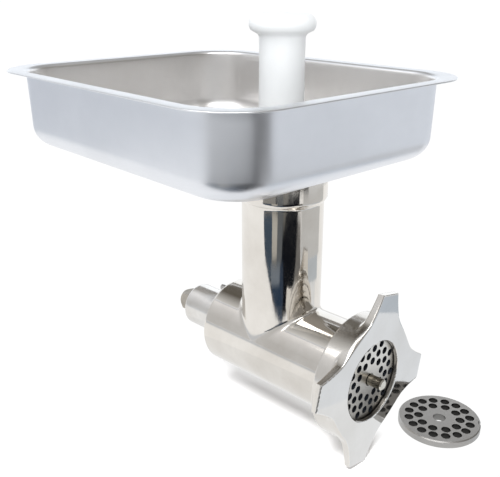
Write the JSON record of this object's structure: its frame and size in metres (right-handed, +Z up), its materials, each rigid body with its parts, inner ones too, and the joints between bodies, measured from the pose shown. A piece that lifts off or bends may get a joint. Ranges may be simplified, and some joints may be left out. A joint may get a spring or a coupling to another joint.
{
  "type": "meat grinder head",
  "caption": "Polished steel grinder head with a worm, a cross knife and a plate under a winged ring nut, a feed pan on its neck, a stomper and a loose spare plate.",
  "frame": {"origin": "centre of the hub shoulder, the flat step at the rear of the barrel where its tail begins", "axes": "+Y along the barrel and out of its tail into the power hub, +Z up the neck, +X to the right seen from the mouth"},
  "size_m": [0.2812, 0.3856, 0.3435],
  "materials": {
    "polished_steel": "mirror-polished cast stainless steel",
    "satin_steel": "satin stainless sheet",
    "plate_steel": "ground tool steel",
    "knife_steel": "ground tool steel",
    "cast_steel": "smooth cast stainless steel",
    "stud_steel": "turned bright steel",
    "shank_steel": "plain turned steel, dulled",
    "tool_steel": "hardened pin steel",
    "bronze": "plain turned bronze",
    "nylon": "natural nylon",
    "white_plastic": "smooth moulded white plastic"
  },
  "bodies": {
    "head": {"barrel": "polished_steel", "neck": "polished_steel", "hub_dowel": "tool_steel", "plate_key": "tool_steel", "tail_bushing": "bronze", "thrust_washer": "nylon"},
    "feed_worm": {"worm": "cast_steel", "drive_shank": "shank_steel", "shank_pin": "tool_steel", "worm_stud": "stud_steel", "cross_knife": "knife_steel"},
    "fitted_plate": {"grinding_plate": "plate_steel"},
    "ring": {"ring_nut": "polished_steel"},
    "pan": {"feed_pan": "satin_steel", "pan_floor": "satin_steel", "pan_spout": "satin_steel"},
    "stomper": {"stomper": "white_plastic"},
    "loose_plate": {"spare_plate": "plate_steel"}
  },
  "joints": [
    {"name": "worm_spin", "type": "hinge", "parent": "head", "child": "feed_worm", "pos_m": [0, 0, 0], "axis": [0, -1, 0], "continuous": true},
    {"name": "plate_slide", "type": "slide", "parent": "head", "child": "fitted_plate", "axis": [0, -1, 0], "range_m": [0, 0.01201]},
    {"name": "ring_turn", "type": "hinge", "parent": "fitted_plate", "child": "ring", "pos_m": [0, -0.145, 0], "axis": [0, -1, 0], "range_deg": [0, 1440]},
    {"name": "pan_lift", "type": "slide", "parent": "head", "child": "pan", "axis": [0, 0, 1], "range_m": [0, 0.08]},
    {"name": "stomper_lift", "type": "slide", "parent": "head", "child": "stomper", "axis": [0, 0, 1], "range_m": [0, 0.15]},
    {"name": "spare_plate_shift", "type": "slide", "parent": "head", "child": "loose_plate", "axis": [1, 0, 0], "range_m": [0, 0.12]}
  ],
  "couplings": [
    {"joint": "plate_slide", "follows": "ring_turn", "m_per_rad": 0.00047746}
  ]
}
